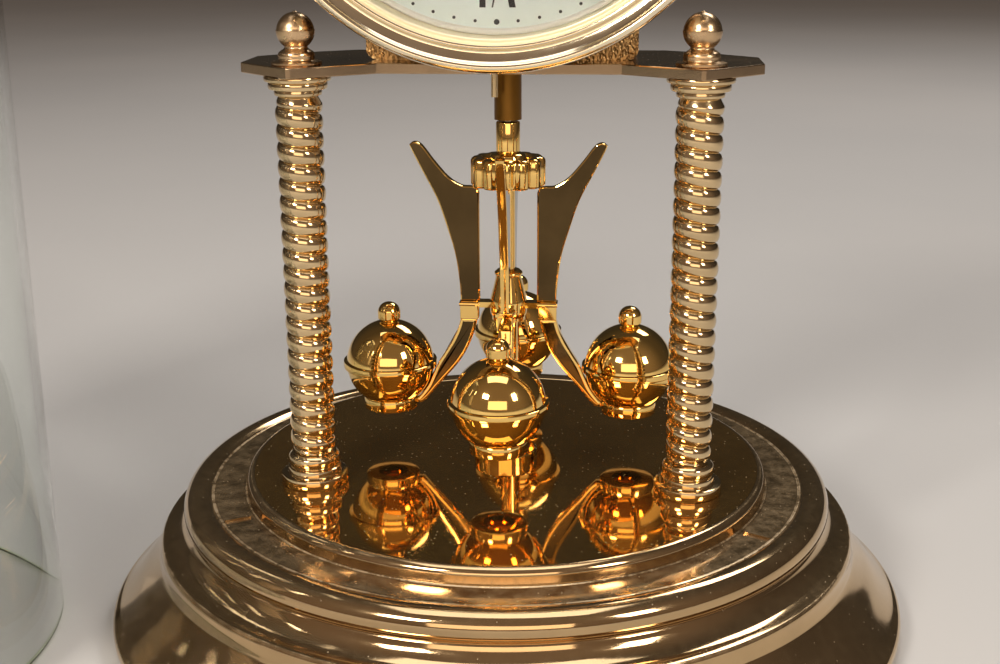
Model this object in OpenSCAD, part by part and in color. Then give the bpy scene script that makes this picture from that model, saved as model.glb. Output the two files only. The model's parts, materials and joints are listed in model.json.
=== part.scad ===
// Anniversary clock with a torsion pendulum, a stepped round base and a glass dome.
// Frame: +Z up, millimetres, origin on the table at the centre of the base, dial towards -Y.
// The glass dome stands on the table beside the clock, as when the clock is being set.

/* [Base] */
// Largest radius of the base skirt
skirt_r = 99.4; // [99:0.1:100.4]
// Height of the polished top plate of the base above the table
deck_z = 38; // [38:0.1:38.4]
// Radius of the polished top plate of the base
deck_r = 63; // [62.6:0.1:63]

/* [Frame] */
// Half distance between the two columns
col_x = 45; // [44.6:0.1:45.6]
// Distance of the columns in front of the centre of the base
col_y = 19; // [18.6:0.1:19.4]
// Outer radius of the columns
col_r = 5.4; // [5.2:0.1:5.5]
// Height of the columns from the base plate to the top plate
col_h = 97.7; // [97.5:0.1:98]
// Thickness of the top plate
plate_t = 2.4; // [2.2:0.1:2.6]

/* [Dial] */
// Outer radius of the bezel
bezel_r = 55.9; // [55.6:0.1:56]
// Height of the centre of the dial above the base plate
dial_h = 154.85; // [154.6:0.1:155]

/* [Pendulum] */
// Radius of the circle of the four balls
ball_ring = 30.8; // [30.6:0.1:31]
// Radius of a ball
ball_r = 11.3; // [11.2:0.1:11.4]
// Distance of the pendulum behind the centre of the base
pend_y = 10.8; // [10.7:0.1:11]

/* [Dome] */
// Outer radius of the glass dome
dome_r = 70.5; // [70.4:0.1:70.7]
// Thickness of the glass
dome_t = 2.2; // [2:0.1:2.4]

/* [Hidden] */
$fn = 96;
top_z = deck_z + col_h;
plate_z = top_z + plate_t;
dial_z = deck_z + dial_h;
dome_x = -179;
dome_y = -41.2;
dome_shoulder = 156;
case_z = plate_z;
case_h = 88;
case_w = 62.6;
case_y0 = -7.3;
case_y1 = 17.5;
batt_z = plate_z + 13;

function arcp(cx, cy, r, a0, a1, n) = [for (i = [0 : n]) [cx + r * cos(a0 + (a1 - a0) * i / n), cy + r * sin(a0 + (a1 - a0) * i / n)]];

module ring(ro, ri, z0, z1) {
  translate([0, 0, z0])
    difference() {
      cylinder(r = ro, h = z1 - z0);
      translate([0, 0, -1]) cylinder(r = ri, h = z1 - z0 + 2);
    }
}

module at_columns() {
  for (s = [-1, 1])
    translate([s * col_x, -col_y, 0]) children();
}

// Local Z of the dial group points to the front.
module at_dial() {
  translate([0, 0, dial_z]) rotate([90, 0, 0]) children();
}

module at_pendulum() {
  translate([0, pend_y, deck_z]) children();
}

module at_balls() {
  at_pendulum()
    for (a = [0 : 90 : 270])
      rotate([0, 0, a]) translate([ball_ring, 0, 0]) children();
}

// ---------------------------------------------------------------- base

fill_profile = concat(
  [[0, 1.6], [0, deck_z - 3], [deck_r - 3, deck_z - 3], [deck_r - 0.6, deck_z - 5.8], [71, deck_z - 5.8],
   [73.2, deck_z - 8], [75, deck_z - 11.4], [78, deck_z - 13.6], [82, deck_z - 15.6]],
  [[84.4, 21.2], [85.4, 19.4], [87.4, 16.2], [90.2, 13.2], [93, 10], [95.2, 7], [95.8, 4], [95.8, 1.6]]);

module base_shell() {
  color([0.55, 0.42, 0.2])
  difference() {
    rotate_extrude()
      difference() {
        polygon(concat(
          [[0, 1.6], [0, deck_z - 1.2], [deck_r + 0.05, deck_z - 1.2], [deck_r + 0.05, deck_z]],
          arcp(deck_r, deck_z - 2, 2, 84, 0, 8),
          [[65, deck_z - 3.4], [65.4, deck_z - 4.1], [73.2, deck_z - 4.1], [73.4, deck_z - 3.9]],
          arcp(76.5, deck_z - 7, 4, 132, -42, 20),
          arcp(85.4, deck_z - 8.1, 6, 197, 268, 8),
          [[86.0, 23.7], [86.4, 23.1]],
          arcp(96.5, 22.4, 10, 178, 202, 4),
          [[89.2, 15.9], [92.2, 12.5], [95.2, 8.9], [97.4, 5.6]],
          arcp(skirt_r - 3.4, 3.7, 3.4, 24, -70, 8),
          [[96.4, 0.4], [96.4, 1.6]]));
        polygon(fill_profile);
      }
    translate([0, 0, deck_z - 6]) cylinder(r = 3, h = 8);
    at_columns() translate([0, 0, deck_z - 6]) cylinder(r = 2, h = 8);
  }
}

module base_filler() {
  color([0.12, 0.12, 0.12])
    difference() {
      rotate_extrude() polygon(fill_profile);
      cylinder(r = 3, h = deck_z);
      cylinder(r = 8, h = 4.6);
      at_columns() cylinder(r = 2, h = deck_z);
      at_columns() cylinder(r = 4.5, h = 9);
    }
}

module base_felt() {
  color([0.08, 0.2, 0.12])
    cylinder(r = 95.4, h = 1.6);
}

module deck_plate() {
  color([0.6, 0.48, 0.24])
    difference() {
      translate([0, 0, deck_z - 1.2]) cylinder(r = deck_r, h = 1.2);
      translate([0, 0, deck_z - 2]) cylinder(r = 3, h = 4);
      at_columns() translate([0, 0, deck_z - 2]) cylinder(r = 2, h = 4);
    }
}

// Three small ribs across the seat keep the dome centred.
module dome_ribs() {
  color([0.6, 0.48, 0.24])
    for (a = [-30, 90, 210])
      rotate([0, 0, a])
        translate([66.6, -0.4, deck_z - 4.1]) cube([6.2, 0.8, 0.5]);
}

module deck_bolt() {
  color([0.5, 0.5, 0.5]) {
    translate([0, 0, 4.6]) cylinder(r = 2.9, h = deck_z - 4.6);
    translate([0, 0, 2.2]) cylinder(r = 5.5, h = 2.4, $fn = 6);
  }
}

module deck_cap() {
  color([0.75, 0.55, 0.2])
    translate([0, 0, deck_z])
      rotate_extrude()
        polygon(concat([[0, 0], [7.9, 0]], arcp(7.3, 2.2, 0.6, 0, 90, 4), [[6.2, 2.8], [5.6, 2.3], [0, 2.3]]));
}

// ---------------------------------------------------------------- columns

module column_feet() {
  color([0.7, 0.52, 0.22])
    at_columns()
      translate([0, 0, deck_z])
        rotate_extrude()
          polygon([[2, 0], [7.8, 0], [8, 0.2], [8, 2.4], [7.8, 2.6], [6.4, 2.7], [6.4, 4.1], [6.1, 4.4], [5.6, 4.5],
            [5.6, 4.7], [6.1, 5], [6.1, 6.9], [5.8, 7.3], [5.4, 7.6], [2, 7.6]]);
}

shaft_z0 = deck_z + 7.6;
shaft_z1 = top_z - 4.4;
shaft_n = 21;
shaft_p = (shaft_z1 - shaft_z0) / shaft_n;

module shaft() {
  rotate_extrude()
    polygon(concat(
      [[2, shaft_z0]],
      [for (i = [0 : shaft_n - 1], k = [0 : 6])
        [col_r - 0.75 + 0.75 * sin(180 * (k + 0.001) / 6.002), shaft_z0 + shaft_p * (i + 0.02 + 0.96 * k / 6)]],
      [[2, shaft_z1]]));
}

module column_left() {
  color([0.72, 0.55, 0.25]) translate([-col_x, -col_y, 0]) shaft();
}

module column_right() {
  color([0.72, 0.55, 0.25]) translate([col_x, -col_y, 0]) shaft();
}

module column_capitals() {
  color([0.7, 0.52, 0.22])
    at_columns()
      translate([0, 0, top_z - 4.4])
        rotate_extrude()
          polygon([[2, 0], [5.2, 0], [5.4, 0.3], [5.4, 1.1], [5.2, 1.3], [6.4, 1.4], [6.7, 1.7], [6.7, 2.8],
            [6.4, 3.1], [7.3, 3.2], [7.6, 3.5], [7.6, 4.2], [7.4, 4.4], [2, 4.4]]);
}

module tie_rods() {
  color([0.55, 0.55, 0.55])
    at_columns()
      translate([0, 0, 7]) cylinder(r = 1.95, h = plate_z + 4.5 - 7);
}

module tie_nuts() {
  color([0.55, 0.55, 0.55])
    at_columns()
      difference() {
        translate([0, 0, 5.6]) cylinder(r = 3.8, h = 3.2, $fn = 6);
        translate([0, 0, 7]) cylinder(r = 1.95, h = 4);
      }
}

module top_plate() {
  color([0.7, 0.5, 0.28])
    translate([0, 0, top_z])
      linear_extrude(height = plate_t)
        difference() {
          polygon([[-59.2, -14], [-47.6, -26.2], [-45.6, -27.8], [-44.6, -27.8], [-27.6, -15.6], [27.6, -15.6],
            [44.6, -27.8], [45.6, -27.8], [47.6, -26.2], [59.2, -14], [59.2, 1], [47, 13], [38, 18.5],
            [-38, 18.5], [-47, 13], [-59.2, 1]]);
          translate([0, pend_y]) circle(r = 2.4);
          for (s = [-1, 1]) translate([s * col_x, -col_y]) circle(r = 2);
        }
}

module finials() {
  color([0.75, 0.48, 0.3])
    at_columns()
      translate([0, 0, plate_z])
        difference() {
          rotate_extrude()
            polygon(concat(
              [[0, 0], [5.6, 0], [5.7, 0.3], [5.6, 0.7], [4.5, 0.9], [4.1, 1.2], [4.1, 2.2], [3.9, 2.8], [3.2, 3.3],
               [2.7, 3.6], [2.6, 3.9], [2.8, 4.2]],
              arcp(0, 7.55, 4.35, -48, 0, 6),
              [[4.2, 7.9]],
              arcp(0, 7.35, 4.2, 12, 82, 8),
              [[0.5, 11.6], [0.3, 11.75], [0, 11.8]]));
          translate([0, 0, -1]) cylinder(r = 2, h = 6);
        }
}

// ---------------------------------------------------------------- movement

module case_outline(d) {
  hw = case_w / 2 - d;
  r = 2.6;
  translate([-hw + r, d + r]) circle(r = r);
  translate([hw - r, d + r]) circle(r = r);
  translate([-hw + r, case_h - d - r]) circle(r = r);
  translate([hw - r, case_h - d - r]) circle(r = r);
  translate([-hw + r, d]) square([2 * hw - 2 * r, case_h - 2 * d]);
  translate([-hw, d + r]) square([2 * hw, case_h - 2 * d - 2 * r]);
}

module movement_case() {
  color([0.75, 0.58, 0.3])
    difference() {
      translate([0, case_y1, case_z])
        rotate([90, 0, 0])
          difference() {
            linear_extrude(height = case_y1 - case_y0) case_outline(0);
            translate([0, 0, -1]) linear_extrude(height = case_y1 - case_y0 - 0.8) case_outline(1.6);
          }
      at_dial() cylinder(r = 5.2, h = 30);
      translate([0, pend_y, case_z - 1]) cylinder(r = 2.4, h = 4);
    }
}

module movement_cover() {
  color([0.1, 0.1, 0.1])
    difference() {
      translate([0, case_y1 + 1.6, case_z])
        rotate([90, 0, 0])
          difference() {
            linear_extrude(height = 1.6) case_outline(0.4);
            translate([-27, 3, -1]) square_block([54, 20, 4]);
          }
      at_dial() translate([18, 0, -24]) cylinder(r = 2.4, h = 10);
    }
}

module square_block(s) {
  cube(s);
}

module movement_spacer() {
  color([0.15, 0.15, 0.15])
    at_dial() ring(18, 5.2, -case_y0, 12);
}

module circuit_board() {
  color([0.1, 0.35, 0.18])
    translate([-26, 5, case_z + 30]) cube([52, 1.2, 18]);
}

module drive_coil() {
  color([0.7, 0.35, 0.15])
    translate([0, pend_y, case_z + 2])
      difference() {
        union() {
          cylinder(r = 5.4, h = 1);
          translate([0, 0, 1]) cylinder(r = 4.6, h = 2.2);
          translate([0, 0, 3.2]) cylinder(r = 5.4, h = 1);
        }
        translate([0, 0, -1]) cylinder(r = 2.4, h = 7);
      }
}

module battery() {
  color([0.2, 0.2, 0.22])
    translate([-25, 9.4, case_z + 14.5])
      rotate([0, 90, 0]) {
        cylinder(r = 7.1, h = 48.6);
        cylinder(r = 2.7, h = 50);
      }
}

module battery_springs() {
  color([0.7, 0.7, 0.7]) {
    translate([-26.6, 6.4, case_z + 9.5]) cube([1.5, 6, 10]);
    translate([25.1, 6.4, case_z + 9.5]) cube([1.5, 6, 10]);
  }
}

door_y = case_y1 + 0.1;
door_z = case_z + 3.2;

module battery_door() {
  color([0.1, 0.1, 0.1]) {
    translate([-26.8, door_y, door_z]) cube([53.6, 1.5, 19.6]);
    translate([-8, door_y + 1.5, door_z + 16.4]) cube([16, 0.9, 1.4]);
  }
}

module knob_pinion() {
  color([0.85, 0.85, 0.8])
    at_dial() translate([18, 0, -16.5]) spur(16, 8.9, 1.6, 0.8);
}

module set_knob() {
  color([0.1, 0.1, 0.1])
    at_dial()
      translate([18, 0, 0]) {
        translate([0, 0, -20.5]) cylinder(r = 1.8, h = 4);
        translate([0, 0, -24.3])
          linear_extrude(height = 3.8)
            difference() {
              circle(r = 7);
              for (a = [0 : 20 : 340]) rotate([0, 0, a]) translate([7.4, 0]) circle(r = 0.8);
            }
      }
}

module spur(n, r, h, tooth) {
  linear_extrude(height = h)
    polygon([for (i = [0 : n - 1], k = [0 : 3])
      let (a = 360 / n * (i + [0.13, 0.23, 0.47, 0.57][k]), q = (k == 1 || k == 2) ? r + tooth / 2 : r - tooth / 2)
      [q * cos(a - 360 / n * 0.35), q * sin(a - 360 / n * 0.35)]]);
}

module minute_wheel() {
  color([0.85, 0.85, 0.8])
    at_dial() {
      translate([0, 0, -16.5]) rotate([0, 0, 180 / 16]) spur(16, 8.9, 1.6, 0.8);
      translate([0, 0, -16.2]) cylinder(r = 1.5, h = 38.6);
    }
}

module tapered_hand(len, w1, t) {
  linear_extrude(height = t)
    difference() {
      union() {
        circle(r = 3);
        polygon([[-1.2, -9], [1.2, -9], [0.9, 0], [w1 / 2, len * 0.62], [w1 * 0.8, len * 0.68], [0, len],
          [-w1 * 0.8, len * 0.68], [-w1 / 2, len * 0.62], [-0.9, 0]]);
      }
      circle(r = 1.5);
    }
}

module minute_hand() {
  color([0.06, 0.06, 0.06])
    at_dial() translate([0, 0, 21.4]) rotate([0, 0, -60]) tapered_hand(41, 2.6, 0.5);
}

module hand_nut() {
  color([0.7, 0.52, 0.22])
    at_dial()
      difference() {
        translate([0, 0, 21.9]) cylinder(r = 2.1, h = 1.1);
        translate([0, 0, 21.4]) cylinder(r = 1.5, h = 1.0);
      }
}

module hour_wheel() {
  color([0.85, 0.85, 0.8])
    at_dial() {
      difference() {
        union() {
          translate([0, 0, -12.6]) spur(40, 14, 1.2, 1.0);
          translate([0, 0, -11.4]) cylinder(r = 3, h = 31.4);
        }
        translate([0, 0, -14]) cylinder(r = 1.56, h = 40);
      }
    }
}

module hour_hand() {
  color([0.06, 0.06, 0.06])
    at_dial()
      translate([0, 0, 19.9])
        rotate([0, 0, 55])
          linear_extrude(height = 0.5)
            difference() {
              union() {
                circle(r = 4);
                polygon([[-1, 0], [1, 0], [1.3, 15], [3, 19], [0, 28], [-3, 19], [-1.3, 15]]);
              }
              circle(r = 3);
            }
}

// ---------------------------------------------------------------- dial

module dial_pan() {
  color([0.65, 0.5, 0.26])
    at_dial()
      difference() {
        union() {
          translate([0, 0, 12]) cylinder(r1 = 47, r2 = 53, h = 6);
          translate([0, 0, 17]) cylinder(r = 53, h = 1);
        }
        translate([0, 0, 12.9]) cylinder(r1 = 46.6, r2 = 51.7, h = 5.11);
        translate([0, 0, 11]) cylinder(r = 5.2, h = 4);
      }
}

module dial() {
  color([0.86, 0.84, 0.76])
    at_dial() ring(53, 3.3, 18, 18.6);
}

module dial_ring() {
  color([0.9, 0.86, 0.75])
    at_dial()
      rotate_extrude()
        polygon([[46.8, 18.6], [47.2, 19.4], [47.8, 19.6], [48.15, 19.5], [48.15, 18.6]]);
}

module bezel() {
  color([0.72, 0.52, 0.25])
    at_dial()
      rotate_extrude()
        polygon([[48.2, 18.6], [54.6, 18.6], [55.4, 18.9], [bezel_r, 19.6], [bezel_r, 27.2], [55.3, 28.4],
          [54.9, 28.9], [54.4, 29.1], [53.9, 28.9], [53.4, 28.3], [52.3, 27.5], [51.3, 27.1], [50.9, 27.3],
          [50.7, 27.9], [50.2, 28.1], [49.7, 27.8], [49.5, 27.2], [49.1, 27.0], [48.9, 27.3], [48.5, 27.3],
          [48.3, 26.9], [48.2, 26.4]]);
}

module dial_glass() {
  color([0.85, 0.9, 0.9, 0.25])
    at_dial() translate([0, 0, 24.4]) cylinder(r = 48.2, h = 1.5);
}

// ---------------------------------------------------------------- pendulum

module suspension_tube() {
  color([0.6, 0.45, 0.22])
    at_pendulum() {
      ring(3.35, 2.4, 84.1, col_h);
    }
}

// A collar on the suspension tube carries the pin that locks the pendulum.
module lock_lever() {
  color([0.75, 0.58, 0.25])
    at_pendulum()
      rotate([0, 0, -24]) {
        difference() {
          union() {
            translate([0, 0, 96.2]) cylinder(r = 4.2, h = 1.2);
            translate([-0.8, -6.6, 96.2]) cube([1.6, 4, 1.2]);
          }
          translate([0, 0, 95]) cylinder(r = 3.4, h = 3);
        }
        translate([0, -6.6, 90.2]) cylinder(r = 0.85, h = 7.2);
      }
}

module suspension_strip() {
  color([0.6, 0.6, 0.6])
    at_pendulum() translate([-0.7, -0.1, 83.6]) cube([1.4, 0.2, 18.4]);
}

module pendulum_neck() {
  color([0.85, 0.65, 0.25])
    at_pendulum()
      rotate_extrude()
        polygon([[0, 75.8], [2.95, 75.8], [2.95, 83.3], [2.7, 83.6], [0, 83.6]]);
}

module pendulum_hub() {
  color([0.85, 0.65, 0.25])
    at_pendulum() {
      difference() {
        translate([0, 0, 67.6])
          linear_extrude(height = 7.4)
            difference() {
              circle(r = 9.3);
              for (a = [0 : 30 : 330]) rotate([0, 0, a + 15]) translate([9.9, 0]) circle(r = 1.5);
            }
        translate([0, 0, 73.6]) cylinder(r = 6.4, h = 3);
      }
      translate([0, 0, 73.6]) cylinder(r = 4.4, h = 2.2);
    }
}

module pendulum_fins() {
  color([0.85, 0.65, 0.25])
    at_pendulum()
      for (a = [0 : 90 : 270])
        rotate([0, 0, a])
          translate([0, 1.1, 0])
            rotate([90, 0, 0])
              linear_extrude(height = 2.2)
                polygon([[7.2, 38.1], [7.2, 66.4], [8.1, 67.6], [9.2, 67.6], [9.25, 67.5], [11.8, 67.7], [15, 69.9],
                  [18.7, 74.1], [20.6, 76.8], [22.0, 78.3], [23.3, 78.6], [24.3, 78], [24.4, 77.1], [21.3, 71.1],
                  [19.3, 67.6], [17.8, 64.2], [16.3, 60.3], [15.2, 56.4], [14.2, 53], [13.4, 50], [12.8, 46.5],
                  [12.4, 43.2], [12.2, 38.1]]);
}

module pendulum_rod() {
  color([0.85, 0.65, 0.25])
    at_pendulum() translate([0, 0, 46.3]) cylinder(r = 1.6, h = 21.3);
}

module pendulum_spindle() {
  color([0.85, 0.65, 0.25])
    at_pendulum()
      rotate_extrude()
        polygon([[0, 6.6], [1.6, 6.6], [2.3, 7.6], [2.3, 33.4], [0, 33.4]]);
}

module pendulum_bell() {
  color([0.85, 0.65, 0.25])
    at_pendulum()
      rotate_extrude()
        polygon([[0, 34.2], [4.2, 34.2], [4.6, 35], [4.7, 36.2], [4.7, 38.2], [4.3, 40], [3.7, 42.4], [3.3, 44.2], [3.6, 45],
          [3.6, 45.9], [3.3, 46.3], [0, 46.3]]);
}

module pendulum_disc() {
  color([0.6, 0.45, 0.2])
    at_pendulum() translate([0, 0, 33.4]) cylinder(r = 4.2, h = 0.8);
}

// Bars from the bell out to the four blocks at the top of the arms.
module pendulum_cross() {
  color([0.85, 0.65, 0.25])
    at_pendulum()
      difference() {
        union() {
          translate([-7.6, -1.8, 36.6]) cube([15.2, 3.6, 1.4]);
          translate([-1.8, -7.6, 36.6]) cube([3.6, 15.2, 1.4]);
        }
        translate([0, 0, 36]) cylinder(r = 4.7, h = 3);
      }
}

module pendulum_arms() {
  color([0.85, 0.65, 0.25])
    at_pendulum()
      for (a = [0 : 90 : 270])
        rotate([0, 0, a]) {
          translate([7.6, -2, 33.4]) cube([4.7, 4, 4.7]);
          translate([0, 1.5, 0])
            rotate([90, 0, 0])
              linear_extrude(height = 3)
                polygon([[7.8, 33.5], [12.2, 33.5], [13.0, 30.6], [14.4, 27.6], [16.2, 24.6], [18.1, 21.6],
                  [19.5, 18.4], [20.9, 15.4], [22.8, 12.9], [23.85, 11.7], [23.85, 10.5], [22.4, 10.7], [20.5, 12.6],
                  [18.4, 15.2], [15.6, 18.4], [12.8, 21.8], [10.6, 25.4], [9.0, 29.2]]);
        }
}

module ball_feet() {
  color([0.85, 0.65, 0.25])
    at_balls()
      rotate_extrude()
        polygon([[3.8, 9.2], [6.75, 9.2], [7, 9.5], [7, 12], [6.85, 12.2], [5.0, 11.05], [3.8, 10.6]]);
}

module half_ball(z0, z1) {
  difference() {
    translate([0, 0, 21.1]) sphere(r = ball_r);
    translate([-20, -20, z1]) cube([40, 40, 40]);
    translate([-20, -20, z0 - 40]) cube([40, 40, 40]);
  }
}

module ball_lower() {
  color([0.85, 0.65, 0.25])
    at_balls()
      difference() {
        half_ball(10.2, 20.2);
        rotate_extrude()
          polygon([[3.8, 7], [7, 7], [7, 12], [6.85, 12.2], [5.0, 11.05], [3.8, 10.6]]);
      }
}

module ball_upper() {
  color([0.85, 0.65, 0.25])
    at_balls() half_ball(22, 32.1);
}

module ball_bands() {
  color([0.85, 0.65, 0.25])
    at_balls()
      rotate_extrude()
        polygon([[0, 20.2], [11.9, 20.2], [12.1, 20.4], [12.1, 21.8], [11.9, 22], [0, 22]]);
}

module ball_knobs() {
  color([0.85, 0.65, 0.25])
    at_balls()
      rotate_extrude()
        polygon([[0, 32.1], [2.1, 32.1], [2.1, 32.6], [2.9, 32.9], [2.9, 34.8], [2.8, 35.3], [2.5, 35.9],
          [2.0, 36.5], [1.4, 36.9], [0.7, 37.1], [0, 37.2]]);
}

module drive_magnet() {
  color([0.3, 0.3, 0.32])
    at_pendulum() translate([0, 0, 102]) cylinder(r = 1.9, h = 3);
}

// ---------------------------------------------------------------- dome

module glass_dome() {
  color([0.8, 0.9, 0.9, 0.2])
    translate([dome_x, dome_y, 0])
      difference() {
        union() {
          cylinder(r = dome_r, h = dome_shoulder);
          translate([0, 0, dome_shoulder]) sphere(r = dome_r);
        }
        translate([0, 0, -1]) cylinder(r = dome_r - dome_t, h = dome_shoulder + 1);
        translate([0, 0, dome_shoulder]) sphere(r = dome_r - dome_t);
        translate([-dome_r - 1, -dome_r - 1, -2 * dome_r]) cube([2 * dome_r + 2, 2 * dome_r + 2, 2 * dome_r]);
      }
}

base_shell();
base_filler();
base_felt();
deck_plate();
dome_ribs();
deck_bolt();
deck_cap();
column_feet();
column_left();
column_right();
column_capitals();
tie_rods();
tie_nuts();
top_plate();
finials();
movement_case();
movement_cover();
movement_spacer();
circuit_board();
drive_coil();
battery();
battery_springs();
battery_door();
knob_pinion();
set_knob();
minute_wheel();
minute_hand();
hand_nut();
hour_wheel();
hour_hand();
dial_pan();
dial();
dial_ring();
bezel();
dial_glass();
suspension_tube();
lock_lever();
suspension_strip();
pendulum_neck();
pendulum_hub();
pendulum_fins();
pendulum_rod();
pendulum_spindle();
pendulum_bell();
pendulum_disc();
pendulum_cross();
pendulum_arms();
ball_feet();
ball_lower();
ball_upper();
ball_bands();
ball_knobs();
drive_magnet();
glass_dome();
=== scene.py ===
"""An anniversary clock with its glass dome standing beside it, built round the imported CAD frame.

Outlines and profiles are in millimetres, and scaled() turns them into metres. Each piece rides on
the body of the CAD node that it replaces or lies on. Radii in the materials are in metres.
"""

import json
import math

import bmesh
import bpy
from mathutils import Matrix, Vector


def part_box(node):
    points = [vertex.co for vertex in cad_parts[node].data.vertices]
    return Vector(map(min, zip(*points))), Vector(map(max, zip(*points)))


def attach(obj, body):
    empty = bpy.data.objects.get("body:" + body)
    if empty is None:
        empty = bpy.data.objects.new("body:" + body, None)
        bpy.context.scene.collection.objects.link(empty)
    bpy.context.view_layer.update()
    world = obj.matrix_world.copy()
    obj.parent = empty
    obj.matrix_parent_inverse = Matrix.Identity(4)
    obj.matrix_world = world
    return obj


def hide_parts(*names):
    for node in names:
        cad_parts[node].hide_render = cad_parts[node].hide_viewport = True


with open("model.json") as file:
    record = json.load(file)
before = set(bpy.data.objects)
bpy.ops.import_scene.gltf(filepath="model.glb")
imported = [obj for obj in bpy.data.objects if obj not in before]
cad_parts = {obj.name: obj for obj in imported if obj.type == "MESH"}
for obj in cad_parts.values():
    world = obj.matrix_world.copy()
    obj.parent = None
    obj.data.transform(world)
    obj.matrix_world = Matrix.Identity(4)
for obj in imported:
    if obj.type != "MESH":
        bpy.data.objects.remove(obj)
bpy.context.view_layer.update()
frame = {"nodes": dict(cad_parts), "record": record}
nodes = frame["nodes"]
MM = 0.001
TAU = 2 * math.pi
MERGE = 1e-7        # points nearer than this, in metres, are one point
CAP_CORNERS = 9     # a face with this many corners is a flat end and is shaded flat


# ------------------------------------------------------------------ camera

CAMERA_AT = (0.02843, -0.33295, 0.16939)
CAMERA_TURN = (5.1, -16.42, -0.31)      # yaw, pitch and roll in degrees
LENS, SENSOR = 50.6, 36


def make_camera():
    yaw, pitch, roll = (math.radians(a) for a in CAMERA_TURN)
    level = math.cos(pitch)
    forward = Vector((-math.sin(yaw) * level, math.cos(yaw) * level, math.sin(pitch)))
    right = Vector((math.cos(yaw), math.sin(yaw), 0))
    up = right.cross(forward)
    across = right * math.cos(roll) + up * math.sin(roll)
    upward = up * math.cos(roll) - right * math.sin(roll)
    data = bpy.data.cameras.new("camera")
    data.sensor_width = SENSOR
    data.lens = LENS
    data.clip_start = 0.01
    data.clip_end = 30
    cam = bpy.data.objects.new("camera", data)
    bpy.context.scene.collection.objects.link(cam)
    turn = Matrix((across, upward, -forward)).transposed().to_4x4()
    cam.matrix_world = Matrix.Translation(CAMERA_AT) @ turn
    bpy.context.scene.camera = cam


# --------------------------------------------------------------- materials

DUST = (0.42, 0.36, 0.27)
# Where dust settles on the base: the sunk ring round the deck, the deck's edge, the skirt's groove.
RING_IN, RING_OUT, DECK_EDGE, SKIRT_GROOVE = 0.0652, 0.0733, 0.0638, 0.0862
DUST_LINES = ((RING_IN, 0.0005, 0.6), (RING_OUT, 0.0006, 0.75), (DECK_EDGE, 0.0003, 0.3),
              (SKIRT_GROOVE, 0.0006, 0.5))      # radius, half width, amount
BEZEL_STEP = 0.0497     # the bezel is polished outside this radius and satin inside it


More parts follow.
